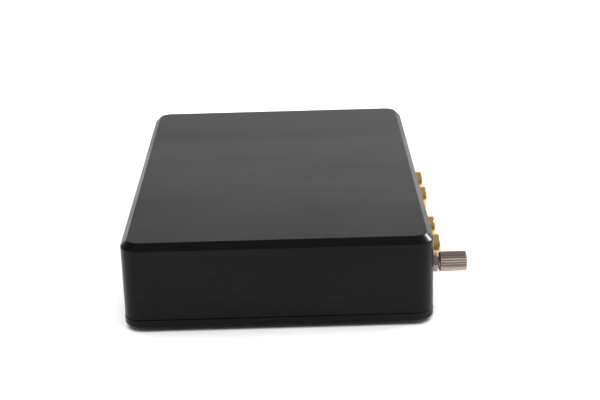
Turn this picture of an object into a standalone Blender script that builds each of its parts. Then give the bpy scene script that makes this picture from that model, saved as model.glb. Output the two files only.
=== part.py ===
"""A small demagnetizer: a flat metal case with four phono sockets and an earth terminal on one long side.

Metres, +Z up. The case stands on its feet at z = 0. +X is the socket side, and the short ends face -Y and +Y.
The origin lies under the middle of everything, from the start button's face to the thumb nut's end.
"""

import math

import bmesh
import bpy
from mathutils import Matrix, Vector

MM = 0.001

# Case
CASE_WIDTH = 96 * MM
CASE_LENGTH = 138 * MM
CASE_HEIGHT = 27.5 * MM
CORNER_RADIUS = 6 * MM
TOP_CHAMFER = 2 * MM
WALL = 3.5 * MM
ROOF = 3 * MM
INNER_CORNER_RADIUS = 2.5 * MM
BASE_THICKNESS = 2.5 * MM
BASE_OVERHANG = 0.1 * MM
BASE_CHAMFER = 0.3 * MM
SEAM = 0.15 * MM
FOOT_HEIGHT = 1.5 * MM
FOOT_RADIUS = 5 * MM
FOOT_INSET = 14 * MM
GAP = 0.2 * MM  # between pieces that touch
RUNNING_GAP = 0.15 * MM  # between a screw and the hole round it

# Screws: shank radius, head radius and head height
BASE_SCREW = (1.5 * MM, 2.8 * MM, 1.6 * MM)
BASE_SCREW_LENGTH = 12 * MM
BOARD_SCREW = (1.25 * MM, 2.25 * MM, 1.4 * MM)
BOARD_SCREW_LENGTH = 9 * MM
CORNER_POST_RADIUS = 4.2 * MM
BOARD_POST_RADIUS = 3 * MM

# Sockets: two pairs on the +X side
SOCKET_PAIR_SPACING = 15.7 * MM
SOCKET_PAIRS = {"input": -34.6 * MM, "output": 10 * MM}
SOCKET_HEIGHT = 13.7 * MM  # axis above the underside of the base plate
SOCKET_HOLE_RADIUS = 5.25 * MM
BARREL_RADIUS = 4.15 * MM
BARREL_BORE = 3.6 * MM
BARREL_REACH = 4.25 * MM  # beyond the case
LIP_RADIUS = 0.7 * MM
CONTACT_RADIUS = 2.1 * MM
CONTACT_BORE = 1.65 * MM
SOCKET_BODY = Vector((10.1, 12, 12.6)) * MM

# Earth terminal
EARTH_Y = -55 * MM
EARTH_SCREW_RADIUS = 1.5 * MM
EARTH_SCREW_REACH = 10.5 * MM
HEX_NUT_FLATS = 5.5 * MM
HEX_NUT_HEIGHT = 2.1 * MM
HEX_NUT_ROUND_OFF = 0.35 * MM
PAN_HEAD = (2.8 * MM, 2 * MM)  # radius and height
TAG_THICKNESS = 0.8 * MM
TAG_RADIUS = 3.2 * MM
TAG_WIDTH = 2.6 * MM
TAG_TAIL = 6.2 * MM
WASHER_RADIUS = 2.2 * MM
WASHER_THICKNESS = 0.65 * MM
WASHER_LEAD = 0.25 * MM  # how far the washer stands out of the thumb nut
THUMB_NUT_START = 2.65 * MM
THUMB_NUT_END = 11.3 * MM
THUMB_NUT_RADIUS = 3.12 * MM
THUMB_NUT_EDGE = 0.5 * MM
KNURL_DEPTH = 0.2 * MM
KNURL_RIDGES = 24

# Start button and lamp on the -X side
BUTTON_Y = -12 * MM
LAMP_Y = 12 * MM
BEZEL_THICKNESS = 1 * MM
BEZEL_RADIUS = 6.5 * MM
BEZEL_BARREL = 5 * MM
MOUTH_DEPTH = 1.2 * MM
BARREL_DEPTH = 10 * MM  # from the outer face to the back wall of the bezel's barrel
BACK_WALL = 1.5 * MM
BUTTON_EDGE = 0.4 * MM
SHOULDER_HEIGHT = 2.6 * MM
STEM_END = 11.4 * MM  # inward of the case's side
RING_NUT = (13 * MM, 2.2 * MM)  # across flats and height
BUTTON_PROUD = 2 * MM
BUTTON_RADIUS = 3.1 * MM
BUTTON_SHOULDER = 3.9 * MM
STEM_RADIUS = 1.4 * MM
SPRING_TURNS = 4.5
SPRING_RADIUS = 2.7 * MM
SPRING_WIRE = 0.3 * MM
SWITCH_HALF = 4.5 * MM
SWITCH_LENGTH = 6 * MM
STEM_SEAT = 3.6 * MM
LAMP_RADIUS = 2.5 * MM
LAMP_PROUD = 1 * MM
LAMP_RIM = (0.6 * MM, 1 * MM)  # how far out and how thick

# Circuit board
BOARD_THICKNESS = 1.6 * MM
BOARD_X = (-34 * MM, 43.5 * MM)
BOARD_Y = (-51 * MM, 55 * MM)
BOARD_POSTS = [(-29 * MM, -46 * MM), (-29 * MM, 50 * MM), (26 * MM, -46 * MM), (26 * MM, 50 * MM)]
INLET_Y = 45 * MM
INLET_HOLE_RADIUS = 5.5 * MM
INLET_HEIGHT = 6.4 * MM  # axis above the board
INLET_BODY = Vector((14, 9.2, 11)) * MM
INLET_COLLAR = 5.2 * MM
INLET_RECESS = 0.3 * MM
INLET_BORE = 3.2 * MM
INLET_DEPTH = 10 * MM
PIN_RADIUS = 1 * MM
PIN_RECESS = 1 * MM
WIRE_RADIUS = 0.6 * MM
LEAD_RADIUS = 0.9 * MM
CONNECTOR_X = (-32 * MM, -26 * MM)
CONNECTOR_HALF = 6 * MM
CONNECTOR_HEIGHT = 6 * MM

# Transformer: the centre limb runs along Y, the two windows lie beside it in X
CORE = Vector((22, 18, 7)) * MM
LIMB = 7 * MM
WINDOW = Vector((4, 11, 7)) * MM
COIL_HEIGHT = 14 * MM
FLANGE = 0.8 * MM

# Other pieces on the board: their sizes along X, Y and Z
RELAY = Vector((10, 20, 11)) * MM
COUPLING_CAPACITOR = Vector((13, 6, 11)) * MM
CAPACITOR_RADIUS = 4.5 * MM
CAPACITOR_HEIGHT = 12.5 * MM
CHIP_WIDTH = 6.4 * MM
LEG_SPAN = 7.8 * MM
LEG_WIDTH = 1.2 * MM
LEG_PITCH = 2.54 * MM
CHIP_LEVELS = (0.5 * MM, 2.4 * MM, 3.9 * MM)  # underside, top of the legs and top, above the board
TAB = Vector((15.6, 10, 1.3)) * MM
REGULATOR_TOP = 4.4 * MM
TAB_HOLE_RADIUS = 1.8 * MM

# Heights and places worked out from the sizes above
CASE_X = (BUTTON_PROUD - THUMB_NUT_END) / 2
BASE_TOP = FOOT_HEIGHT + BASE_THICKNESS
SCREW_FACE = FOOT_HEIGHT + 0.1 * MM  # the base screws' heads lie just inside the base plate
SHELL_BOTTOM = BASE_TOP + SEAM
CASE_TOP = FOOT_HEIGHT + CASE_HEIGHT
CEILING = CASE_TOP - ROOF
SIDE = CASE_WIDTH / 2  # outer face of the +X side, from the case's middle
INNER_SIDE = SIDE - WALL
AXIS_Z = FOOT_HEIGHT + SOCKET_HEIGHT
BOARD_TOP = BASE_TOP + 3.6 * MM
BOARD_BOTTOM = BOARD_TOP - BOARD_THICKNESS
ON_BOARD = BOARD_TOP + GAP
CORNERS = [(x, y) for x in (-1, 1) for y in (-1, 1)]
CORNER_NAMES = {(-1, -1): "near_left", (1, -1): "near_right", (-1, 1): "far_left", (1, 1): "far_right"}
POST_X = SIDE - CORNER_RADIUS
POST_Y = CASE_LENGTH / 2 - CORNER_RADIUS

TOWARD = {"+X": Vector((1, 0, 0)), "-X": Vector((-1, 0, 0)), "+Z": Vector((0, 0, 1))}


# ---------------------------------------------------------------- scene and materials


def clear_scene():
    for obj in list(bpy.data.objects):
        bpy.data.objects.remove(obj, do_unlink=True)


def new_collection(name):
    collection = bpy.data.collections.new(name)
    bpy.context.scene.collection.children.link(collection)
    return collection


def finish(name, colour, roughness, metallic):
    """A Principled material."""
    material = bpy.data.materials.new(name)
    material.use_nodes = True
    shader = material.node_tree.nodes["Principled BSDF"]
    shader.inputs["Base Color"].default_value = (*colour, 1)
    shader.inputs["Roughness"].default_value = roughness
    shader.inputs["Metallic"].default_value = metallic
    return material


def black_anodised(name):
    return finish(name, (0.012, 0.012, 0.013), 0.38, 0.0)


def gold(name):
    return finish(name, (0.86, 0.6, 0.2), 0.2, 1.0)


def nickel(name):
    return finish(name, (0.56, 0.52, 0.48), 0.32, 1.0)


def steel(name):
    return finish(name, (0.6, 0.6, 0.62), 0.35, 1.0)


def black_plastic(name):
    return finish(name, (0.02, 0.02, 0.02), 0.5, 0.0)


def plastic(name, colour):
    return finish(name, colour, 0.45, 0.0)


# ---------------------------------------------------------------- shapes


def at(x, y, z):
    """A place measured from the case's middle in X and Y and from the table in Z."""
    return Vector((CASE_X + x, y, z))


def place(name, mesh, location=(0, 0, 0), axis="+Z"):
    """The named object of a piece, its own +Z turned along the axis."""
    obj = bpy.data.objects.new(name, mesh)
    turn = Vector((0, 0, 1)).rotation_difference(TOWARD[axis]).to_matrix().to_4x4()
    obj.matrix_world = Matrix.Translation(location) @ turn
    parts.objects.link(obj)
    return obj


def dress(obj, material):
    """Gives a piece its material and smooth shading with its edges kept sharp."""
    obj.data.materials.clear()
    obj.data.materials.append(material)
    obj.data.shade_smooth()
    obj.data.set_sharp_from_angle(angle=math.radians(35))
    return obj


def as_cutter(obj):
    parts.objects.unlink(obj)
    cutters.objects.link(obj)
    obj.hide_render = True
    obj.display_type = "WIRE"
    return obj


def boolean(obj, other, operation):
    modifier = obj.modifiers.new(operation.title(), "BOOLEAN")
    modifier.operation = operation
    modifier.solver = "EXACT"
    modifier.object = as_cutter(other)


def cut(obj, other):
    boolean(obj, other, "DIFFERENCE")


def join(obj, other):
    boolean(obj, other, "UNION")


def mesh_from(bm, name):
    mesh = bpy.data.meshes.new(name)
    bm.to_mesh(mesh)
    bm.free()
    return mesh


def block_mesh(name, low, high, edge=0.0):
    """A box between two corners, its edges cut back by the given amount."""
    bm = bmesh.new()
    bmesh.ops.create_cube(bm, size=1)
    low, high = Vector(low), Vector(high)
    bmesh.ops.scale(bm, vec=high - low, verts=bm.verts)
    bmesh.ops.translate(bm, vec=(low + high) / 2, verts=bm.verts)
    if edge:
        bmesh.ops.bevel(bm, geom=bm.edges[:], offset=edge, segments=1, affect="EDGES")
    return mesh_from(bm, name)


def block(name, low, high, edge=0.0):
    return place(name, block_mesh(name, low, high, edge))


def rounded_slab(name, width, length, z_low, z_high, radius, top=0.0, bottom=0.0):
    """A slab with round vertical corners, chamfered round its top and its bottom."""
    bm = bmesh.new()
    bmesh.ops.create_cube(bm, size=1)
    bmesh.ops.scale(bm, vec=(width, length, z_high - z_low), verts=bm.verts)
    bmesh.ops.translate(bm, vec=at(0, 0, (z_low + z_high) / 2), verts=bm.verts)
    upright = [e for e in bm.edges if abs(e.verts[0].co.z - e.verts[1].co.z) > 1e-6]
    bmesh.ops.bevel(bm, geom=upright, offset=radius, segments=6, profile=0.5, affect="EDGES")
    for size, level in ((top, z_high), (bottom, z_low)):
        if not size:
            continue
        rim = [e for e in bm.edges if all(abs(v.co.z - level) < 1e-6 for v in e.verts)]
        bmesh.ops.bevel(bm, geom=rim, offset=size, segments=1, affect="EDGES")
    return place(name, mesh_from(bm, name))


def rod(name, radius, start, end, location, axis="+Z", sides=16):
    """A cylinder from start to end along the axis, measured from the location."""
    bm = bmesh.new()
    bmesh.ops.create_cone(
        bm, cap_ends=True, segments=sides, radius1=radius, radius2=radius, depth=end - start
    )
    bmesh.ops.translate(bm, vec=(0, 0, (start + end) / 2), verts=bm.verts)
    return place(name, mesh_from(bm, name), location, axis)


def turned_mesh(name, profile, sides, ring):
    """A turned shape's mesh. The profile is (radius, height) pairs that run down the outer side, top to bottom;
    a ring's profile goes on up its bore and closes, and a solid one starts and ends on the axis."""
    mesh = bpy.data.meshes.new(name)
    edges = [(i, i + 1) for i in range(len(profile) - 1)]
    if ring:
        edges.append((len(profile) - 1, 0))
    mesh.from_pydata([(radius, 0, height) for radius, height in profile], edges, [])
    obj = bpy.data.objects.new(name, mesh)
    parts.objects.link(obj)
    screw = obj.modifiers.new("Turn", "SCREW")
    screw.steps = sides
    screw.render_steps = sides
    screw.use_merge_vertices = True
    screw.merge_threshold = 1e-6
    return solid_of(obj)


def solid_of(obj):
    """The object's evaluated shape as a mesh of its own. The object is removed."""
    graph = bpy.context.evaluated_depsgraph_get()
    mesh = bpy.data.meshes.new_from_object(obj.evaluated_get(graph))
    name = obj.name
    bpy.data.objects.remove(obj, do_unlink=True)
    mesh.name = name
    return mesh


def turned(name, profile, location, axis="+Z", sides=24, ring=False):
    return place(name, turned_mesh(name, profile, sides, ring), location, axis)


def tube(outer, inner, low, high):
    """The profile of a plain tube."""
    return [(inner, high), (outer, high), (outer, low), (inner, low)]


def hexagon(name, flats, start, end, location, axis="+Z"):
    """A hexagonal prism, two of its corners toward -Y and +Y."""
    return rod(name, flats / math.sqrt(3), start, end, location, axis, sides=6)


def wire(name, points, radius):
    """A round wire with flat ends, along a list of points."""
    curve = bpy.data.curves.new(name, "CURVE")
    curve.dimensions = "3D"
    curve.bevel_depth = radius
    curve.bevel_resolution = 2
    curve.use_fill_caps = True
    spline = curve.splines.new("POLY")
    spline.points.add(len(points) - 1)
    for point, place_of in zip(spline.points, points):
        point.co = (*place_of, 1)
    obj = bpy.data.objects.new(name, curve)
    parts.objects.link(obj)
    mesh = solid_of(obj)
    bm = bmesh.new()
    bm.from_mesh(mesh)
    bmesh.ops.remove_doubles(bm, verts=bm.verts, dist=1e-6)
    bm.to_mesh(mesh)
    bm.free()
    return mesh


def bend(start, leaving, end, arriving, count=9):
    """Points on the smooth curve that leaves one place along one vector and arrives along another."""
    points = []
    for i in range(count):
        t = i / (count - 1)
        from_start = start * (2 * t**3 - 3 * t**2 + 1) + leaving * (t**3 - 2 * t**2 + t)
        to_end = end * (3 * t**2 - 2 * t**3) + arriving * (t**3 - t**2)
        points.append(from_start + to_end)
    return points


# ---------------------------------------------------------------- case


def make_case_shell():
    shell = rounded_slab(
        "case_shell", CASE_WIDTH, CASE_LENGTH, SHELL_BOTTOM, CASE_TOP, CORNER_RADIUS, top=TOP_CHAMFER
    )
    hollow = rounded_slab(
        "case_hollow",
        CASE_WIDTH - 2 * WALL,
        CASE_LENGTH - 2 * WALL,
        SHELL_BOTTOM - ROOF,
        CEILING,
        INNER_CORNER_RADIUS,
    )
    cut(shell, hollow)
    into_roof = CEILING + ROOF / 2
    for x, y in CORNERS:
        foot = at(x * POST_X, y * POST_Y, 0)
        join(shell, rod("corner_post", CORNER_POST_RADIUS, SHELL_BOTTOM, into_roof, foot))
        radius = BASE_SCREW[0] + RUNNING_GAP
        cut(shell, rod("corner_thread", radius, 0, BASE_TOP + BASE_SCREW_LENGTH, foot, sides=10))
    for x, y in BOARD_POSTS:
        foot = at(x, y, 0)
        join(shell, rod("board_post", BOARD_POST_RADIUS, ON_BOARD, into_roof, foot, sides=12))
        radius = BOARD_SCREW[0] + RUNNING_GAP
        cut(shell, rod("board_thread", radius, 0, BOARD_TOP + BOARD_SCREW_LENGTH, foot, sides=10))
    through = (INNER_SIDE - WALL / 2, SIDE + WALL)
    for y in socket_places().values():
        cut(shell, rod("socket_hole", SOCKET_HOLE_RADIUS, *through, at(0, y, AXIS_Z), "+X", 24))
    cut(shell, rod("inlet_hole", INLET_HOLE_RADIUS, *through, at(0, INLET_Y, inlet_z()), "+X", 24))
    cut(shell, rod("earth_hole", EARTH_SCREW_RADIUS + GAP, *through, at(0, EARTH_Y, AXIS_Z), "+X", 12))
    cut(shell, rod("button_hole", BEZEL_BARREL + GAP, *through, at(0, BUTTON_Y, AXIS_Z), "-X", 24))
    cut(shell, rod("lamp_hole", LAMP_RADIUS + GAP, *through, at(0, LAMP_Y, AXIS_Z), "-X", 16))
    dress(shell, black_anodised("shell_black"))


def make_base_plate():
    plate = rounded_slab(
        "base_plate",
        CASE_WIDTH + 2 * BASE_OVERHANG,
        CASE_LENGTH + 2 * BASE_OVERHANG,
        FOOT_HEIGHT,
        BASE_TOP,
        CORNER_RADIUS + BASE_OVERHANG,
        bottom=BASE_CHAMFER,
    )
    shank, head, head_height = BASE_SCREW
    sink = [
        (0, BASE_TOP + GAP),
        (shank + GAP, BASE_TOP + GAP),
        (shank + GAP, SCREW_FACE + head_height),
        (head + GAP, SCREW_FACE),
        (head + GAP, FOOT_HEIGHT - GAP),
        (0, FOOT_HEIGHT - GAP),
    ]
    for x, y in CORNERS:
        cut(plate, turned("screw_seat", sink, at(x * POST_X, y * POST_Y, 0), sides=16))
    dress(plate, black_anodised("base_black"))


def make_base_screws():
    """Four countersunk screws, their driver recesses facing down."""
    shank, head, head_height = BASE_SCREW
    low = SCREW_FACE
    recess = shank * 0.75
    profile = [
        (0, low + BASE_SCREW_LENGTH),
        (shank, low + BASE_SCREW_LENGTH),
        (shank, low + head_height),
        (head, low),
        (recess, low),
        (recess, low + head_height * 0.8),
        (0, low + head_height * 0.8),
    ]
    mesh = turned_mesh("base_screw", profile, 16, ring=False)
    for x, y in CORNERS:
        name = "base_screw_" + CORNER_NAMES[x, y]
        dress(place(name, mesh.copy(), at(x * POST_X, y * POST_Y, 0)), steel(name + "_steel"))


def make_feet():
    profile = [
        (0, FOOT_HEIGHT - GAP),
        (FOOT_RADIUS, FOOT_HEIGHT - GAP),
        (FOOT_RADIUS, FOOT_HEIGHT / 3),
        (FOOT_RADIUS - FOOT_HEIGHT / 3, 0),
        (0, 0),
    ]
    mesh = turned_mesh("foot", profile, 20, ring=False)
    for x, y in CORNERS:
        name = "foot_" + CORNER_NAMES[x, y]
        spot = at(x * (SIDE - FOOT_INSET), y * (CASE_LENGTH / 2 - FOOT_INSET), 0)
        dress(place(name, mesh.copy(), spot), finish(name + "_rubber", (0.02, 0.02, 0.02), 0.85, 0.0))


# ---------------------------------------------------------------- sockets


def socket_places():
    """Each socket's name and its place along the side."""
    places = {}
    for pair, middle in SOCKET_PAIRS.items():
        places[pair + "_right"] = middle - SOCKET_PAIR_SPACING / 2
        places[pair + "_left"] = middle + SOCKET_PAIR_SPACING / 2
    return places


def lip(radius, end, count=4):
    """The round outer edge of a socket's barrel, from near its end face onto its side."""
    points = []
    for i in range(1, count):
        angle = math.pi / 2 * (1 - i / (count - 1))
        reach = LIP_RADIUS * math.sin(angle)
        points.append((radius - LIP_RADIUS + LIP_RADIUS * math.cos(angle), end - LIP_RADIUS + reach))
    return points


def make_socket(name, y):
    back = INNER_SIDE - GAP - SOCKET_BODY.x
    front = INNER_SIDE - GAP
    seat = front - 3 * MM  # bottom of the barrel's seat in the housing
    end = SIDE + BARREL_REACH
    axis_place = at(0, y, AXIS_Z)
    housing = block(
        name + "_housing",
        at(back, y - SOCKET_BODY.y / 2, ON_BOARD),
        at(front, y + SOCKET_BODY.y / 2, ON_BOARD + SOCKET_BODY.z),
        0.4 * MM,
    )
    cut(housing, rod("barrel_seat", BARREL_RADIUS + GAP, seat, front + GAP, axis_place, "+X", 24))
    contact_back = back + 2 * MM
    cut(housing, rod("contact_seat", CONTACT_RADIUS + GAP, contact_back, seat + GAP, axis_place, "+X", 16))
    dress(housing, black_plastic(name + "_black"))
    profile = lip(BARREL_RADIUS, end) + [
        (BARREL_RADIUS, seat + GAP),
        (BARREL_BORE, seat + GAP),
        (BARREL_BORE, end - LIP_RADIUS / 2),
        (BARREL_RADIUS - LIP_RADIUS * 0.65, end - GAP / 4),
    ]
    dress(turned(name + "_barrel", profile, axis_place, "+X", 24, ring=True), gold(name + "_gold"))
    sleeve = tube(BARREL_BORE - GAP, CONTACT_RADIUS + GAP, seat + 2 * GAP, end - 0.9 * MM)
    colour = (0.55, 0.02, 0.02) if name.endswith("right") else (0.8, 0.8, 0.76)
    insulator = turned(name + "_insulator", sleeve, axis_place, "+X", 20, ring=True)
    dress(insulator, plastic(name + "_colour", colour))
    pipe = tube(CONTACT_RADIUS, CONTACT_BORE, contact_back + GAP, end - 1.3 * MM)
    contact = turned(name + "_contact", pipe, axis_place, "+X", 16, ring=True)
    dress(contact, gold(name + "_contact_gold"))


# ---------------------------------------------------------------- earth terminal


def make_earth_screw():
    """A pan head screw from inside the case, its tag under the head."""
    head_top = INNER_SIDE - 2 * GAP - TAG_THICKNESS
    end = SIDE + EARTH_SCREW_REACH
    radius = EARTH_SCREW_RADIUS
    head, head_height = PAN_HEAD
    profile = [
        (0, end),
        (radius - 0.4 * MM, end),
        (radius, end - 0.4 * MM),
        (radius, head_top),
        (head, head_top),
        (head, head_top - head_height * 0.7),
        (head * 0.7, head_top - head_height),
        (0, head_top - head_height),
    ]
    dress(turned("earth_screw", profile, at(0, EARTH_Y, AXIS_Z), "+X", 20), nickel("screw_nickel"))


def make_earth_tag():
    """A ring with a tail that hangs down, cut from sheet."""
    start = INNER_SIDE - GAP - TAG_THICKNESS
    middle = at(0, EARTH_Y, AXIS_Z)
    tag = rod("earth_tag", TAG_RADIUS, start, start + TAG_THICKNESS, middle, "+X", 20)
    tail = block(
        "tag_tail",
        at(start, EARTH_Y - TAG_WIDTH / 2, AXIS_Z - TAG_TAIL),
        at(start + TAG_THICKNESS, EARTH_Y + TAG_WIDTH / 2, AXIS_Z - TAG_RADIUS / 2),
    )
    join(tag, tail)
    cut(tag, rod("tag_hole", EARTH_SCREW_RADIUS + GAP, start - GAP, SIDE, middle, "+X", 16))
    dress(tag, finish("tag_tin", (0.62, 0.62, 0.6), 0.4, 1.0))


def make_earth_wire():
    """A short insulated wire from the tag's tail to the board."""
    start = at(INNER_SIDE - TAG_THICKNESS - 2 * GAP, EARTH_Y, AXIS_Z - TAG_TAIL + 1 * MM)
    end = at(33 * MM, BOARD_Y[0] + 2.5 * MM, ON_BOARD)
    points = bend(start, Vector((-12, 0, 0)) * MM, end, Vector((0, 2, -12)) * MM, 12)
    obj = place("earth_wire", wire("earth_wire", points, WIRE_RADIUS))
    dress(obj, plastic("wire_green", (0.03, 0.25, 0.06)))


def make_hex_nut():
    """The fixed nut outside the case, flats above and below, its corners turned off at both ends."""
    start = SIDE + SEAM
    end = start + HEX_NUT_HEIGHT
    middle = at(0, EARTH_Y, AXIS_Z)
    nut = hexagon("earth_nut", HEX_NUT_FLATS, start, end, middle, "+X")
    corner = HEX_NUT_FLATS / math.sqrt(3)
    turned_off = [
        (0, end),
        (HEX_NUT_FLATS / 2, end),
        (corner, end - HEX_NUT_ROUND_OFF),
        (corner, start + HEX_NUT_ROUND_OFF),
        (HEX_NUT_FLATS / 2, start),
        (0, start),
    ]
    boolean(nut, turned("nut_corners", turned_off, middle, "+X", 24), "INTERSECT")
    radius = EARTH_SCREW_RADIUS + RUNNING_GAP
    cut(nut, rod("nut_thread", radius, start - GAP, end + GAP, middle, "+X", 20))
    dress(nut, nickel("nut_nickel"))


def make_washer():
    """A washer held in the thumb nut's end: it slides with the nut and doesn't turn with it."""
    start = SIDE + THUMB_NUT_START - WASHER_LEAD
    profile = tube(WASHER_RADIUS, EARTH_SCREW_RADIUS + RUNNING_GAP, start, start + WASHER_THICKNESS)
    washer = turned("earth_washer", profile, at(0, EARTH_Y, AXIS_Z), "+X", 20, ring=True)
    dress(washer, nickel("washer_nickel"))


def make_thumb_nut():
    """A long round nut with a straight knurl, bored through, with a seat for its washer."""
    low, high = THUMB_NUT_START, THUMB_NUT_END
    edge = THUMB_NUT_EDGE
    root = THUMB_NUT_RADIUS - KNURL_DEPTH
    bm = bmesh.new()
    sides = 2 * KNURL_RIDGES
    bmesh.ops.create_cone(
        bm, cap_ends=True, segments=sides, radius1=THUMB_NUT_RADIUS, radius2=THUMB_NUT_RADIUS, depth=high - low
    )
    bmesh.ops.translate(bm, vec=(0, 0, (low + high) / 2), verts=bm.verts)
    step = 2 * math.pi / sides
    for vert in bm.verts:
        number = round(math.atan2(vert.co.y, vert.co.x) / step - 0.25)
        if number % 2:
            vert.co.x *= root / THUMB_NUT_RADIUS
            vert.co.y *= root / THUMB_NUT_RADIUS
    origin = at(SIDE, EARTH_Y, AXIS_Z)
    nut = place("thumb_nut", mesh_from(bm, "thumb_nut"), origin, "+X")
    rounded_ends = [
        (0, high),
        (THUMB_NUT_RADIUS - edge, high),
        (THUMB_NUT_RADIUS - edge * 0.3, high - edge * 0.3),
        (THUMB_NUT_RADIUS + GAP, high - edge * 1.4),
        (THUMB_NUT_RADIUS + GAP, low + edge * 1.4),
        (THUMB_NUT_RADIUS - edge * 0.3, low + edge * 0.3),
        (THUMB_NUT_RADIUS - edge, low),
        (0, low),
    ]
    boolean(nut, turned("nut_ends", rounded_ends, origin, "+X", 48), "INTERSECT")
    bore = EARTH_SCREW_RADIUS + RUNNING_GAP
    cut(nut, rod("thumb_thread", bore, low - GAP, high + GAP, origin, "+X", 20))
    seat = low - WASHER_LEAD + WASHER_THICKNESS + GAP
    cut(nut, rod("washer_seat", WASHER_RADIUS + 1.5 * GAP, low - GAP, seat, origin, "+X", 20))
    dress(nut, nickel("knurled_nickel"))


# ---------------------------------------------------------------- low voltage inlet


def inlet_z():
    return ON_BOARD + INLET_HEIGHT


def make_inlet():
    """A moulded body with a round collar that fills the hole in the case's side."""
    front = INNER_SIDE - GAP
    face = SIDE - INLET_RECESS
    bottom = face - INLET_DEPTH
    middle = at(0, INLET_Y, inlet_z())
    housing = block(
        "inlet_housing",
        at(front - INLET_BODY.x, INLET_Y - INLET_BODY.y / 2, ON_BOARD),
        at(front, INLET_Y + INLET_BODY.y / 2, ON_BOARD + INLET_BODY.z),
        0.4 * MM,
    )
    join(housing, rod("inlet_collar", INLET_COLLAR, front - GAP, face, middle, "+X", 24))
    cut(housing, rod("inlet_bore", INLET_BORE, bottom, SIDE, middle, "+X", 20))
    dress(housing, black_plastic("inlet_black"))
    tip = face - PIN_RECESS
    profile = [
        (0, tip),
        (PIN_RADIUS * 0.6, tip),
        (PIN_RADIUS, tip - 0.5 * MM),
        (PIN_RADIUS, bottom + GAP),
        (0, bottom + GAP),
    ]
    dress(turned("inlet_pin", profile, middle, "+X", 12), nickel("pin_nickel"))


# ---------------------------------------------------------------- start button and lamp


def make_button_bezel():
    """A flanged barrel. Its narrow mouth keeps the button in, and its back wall carries the spring."""
    flange = SIDE + SEAM
    face = SIDE + BEZEL_THICKNESS
    mouth = BUTTON_RADIUS + GAP
    bore = BUTTON_SHOULDER + GAP
    back = face - BARREL_DEPTH
    profile = [
        (mouth, face),
        (BEZEL_RADIUS - BUTTON_EDGE, face),
        (BEZEL_RADIUS, face - BUTTON_EDGE),
        (BEZEL_RADIUS, flange),
        (BEZEL_BARREL, flange),
        (BEZEL_BARREL, back - BACK_WALL),
        (STEM_RADIUS + GAP, back - BACK_WALL),
        (STEM_RADIUS + GAP, back),
        (bore, back),
        (bore, face - MOUTH_DEPTH),
        (mouth, face - MOUTH_DEPTH),
    ]
    bezel = turned("button_bezel", profile, at(0, BUTTON_Y, AXIS_Z), "-X", 24, ring=True)
    dress(bezel, steel("bezel_steel"))


def make_button_nut():
    high = INNER_SIDE - GAP
    middle = at(0, BUTTON_Y, AXIS_Z)
    flats, height = RING_NUT
    nut = hexagon("button_nut", flats, high - height, high, middle, "-X")
    cut(nut, rod("button_thread", BEZEL_BARREL + GAP, high - 2 * height, high + GAP, middle, "-X", 24))
    dress(nut, steel("button_nut_steel"))


def button_levels():
    """The button's face, its shoulder's two sides and the end of its stem, from the case's middle."""
    face = SIDE + BUTTON_PROUD
    shoulder = SIDE + BEZEL_THICKNESS - MOUTH_DEPTH - GAP
    return face, shoulder, shoulder - SHOULDER_HEIGHT, SIDE - STEM_END


def make_start_button():
    face, shoulder, under, end = button_levels()
    profile = [
        (0, face),
        (BUTTON_RADIUS - BUTTON_EDGE, face),
        (BUTTON_RADIUS, face - BUTTON_EDGE),
        (BUTTON_RADIUS, shoulder),
        (BUTTON_SHOULDER, shoulder),
        (BUTTON_SHOULDER, under),
        (STEM_RADIUS, under),
        (STEM_RADIUS, end),
        (0, end),
    ]
    button = turned("start_button", profile, at(0, BUTTON_Y, AXIS_Z), "-X", 24)
    dress(button, steel("button_steel"))


def make_button_spring():
    """A helix round the stem, between the shoulder and the bezel's back wall."""
    under = button_levels()[2]
    back = SIDE + BEZEL_THICKNESS - BARREL_DEPTH
    high = under - GAP - SPRING_WIRE
    low = back + GAP + SPRING_WIRE
    count = round(SPRING_TURNS * 8) + 1
    middle = at(0, BUTTON_Y, AXIS_Z)
    points = []
    for i in range(count):
        t = i / (count - 1)
        angle = 2 * math.pi * SPRING_TURNS * t
        across = Vector((0, math.cos(angle), math.sin(angle))) * SPRING_RADIUS
        points.append(middle + across - Vector((low + (high - low) * t, 0, 0)))
    spring = place("button_spring", wire("button_spring", points, SPRING_WIRE))
    dress(spring, steel("spring_steel"))


def make_switch_body():
    """The contact block behind the bezel. The button's stem reaches into it."""
    front = SIDE + BEZEL_THICKNESS - BARREL_DEPTH - BACK_WALL - GAP
    half = SWITCH_HALF
    body = block(
        "switch_body",
        at(-front, BUTTON_Y - half, AXIS_Z - half),
        at(-front + SWITCH_LENGTH, BUTTON_Y + half, AXIS_Z + half),
        0.5 * MM,
    )
    middle = at(0, BUTTON_Y, AXIS_Z)
    bore = rod("stem_hole", STEM_RADIUS + GAP, front - STEM_SEAT, front + GAP, middle, "-X", 16)
    cut(body, bore)
    dress(body, black_plastic("switch_black"))


def make_lamp():
    """A round lamp with a domed end, pushed in from inside up to its rim."""
    face = SIDE + LAMP_PROUD
    dome = 4
    profile = []
    for i in range(dome):
        angle = math.pi / 2 * i / (dome - 1)
        profile.append((LAMP_RADIUS * math.sin(angle), face - LAMP_RADIUS * (1 - math.cos(angle))))
    rim = INNER_SIDE - GAP
    out, thickness = LAMP_RIM
    profile += [
        (LAMP_RADIUS, rim),
        (LAMP_RADIUS + out, rim),
        (LAMP_RADIUS + out, rim - thickness),
        (0, rim - thickness),
    ]
    lamp = turned("status_lamp", profile, at(0, LAMP_Y, AXIS_Z), "-X", 16)
    dress(lamp, plastic("lamp_red", (0.5, 0.01, 0.01)))


def make_front_connector():
    body = block(
        "front_connector",
        at(CONNECTOR_X[0], -CONNECTOR_HALF, ON_BOARD),
        at(CONNECTOR_X[1], CONNECTOR_HALF, ON_BOARD + CONNECTOR_HEIGHT),
        0.4 * MM,
    )
    dress(body, plastic("connector_white", (0.75, 0.73, 0.66)))


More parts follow.
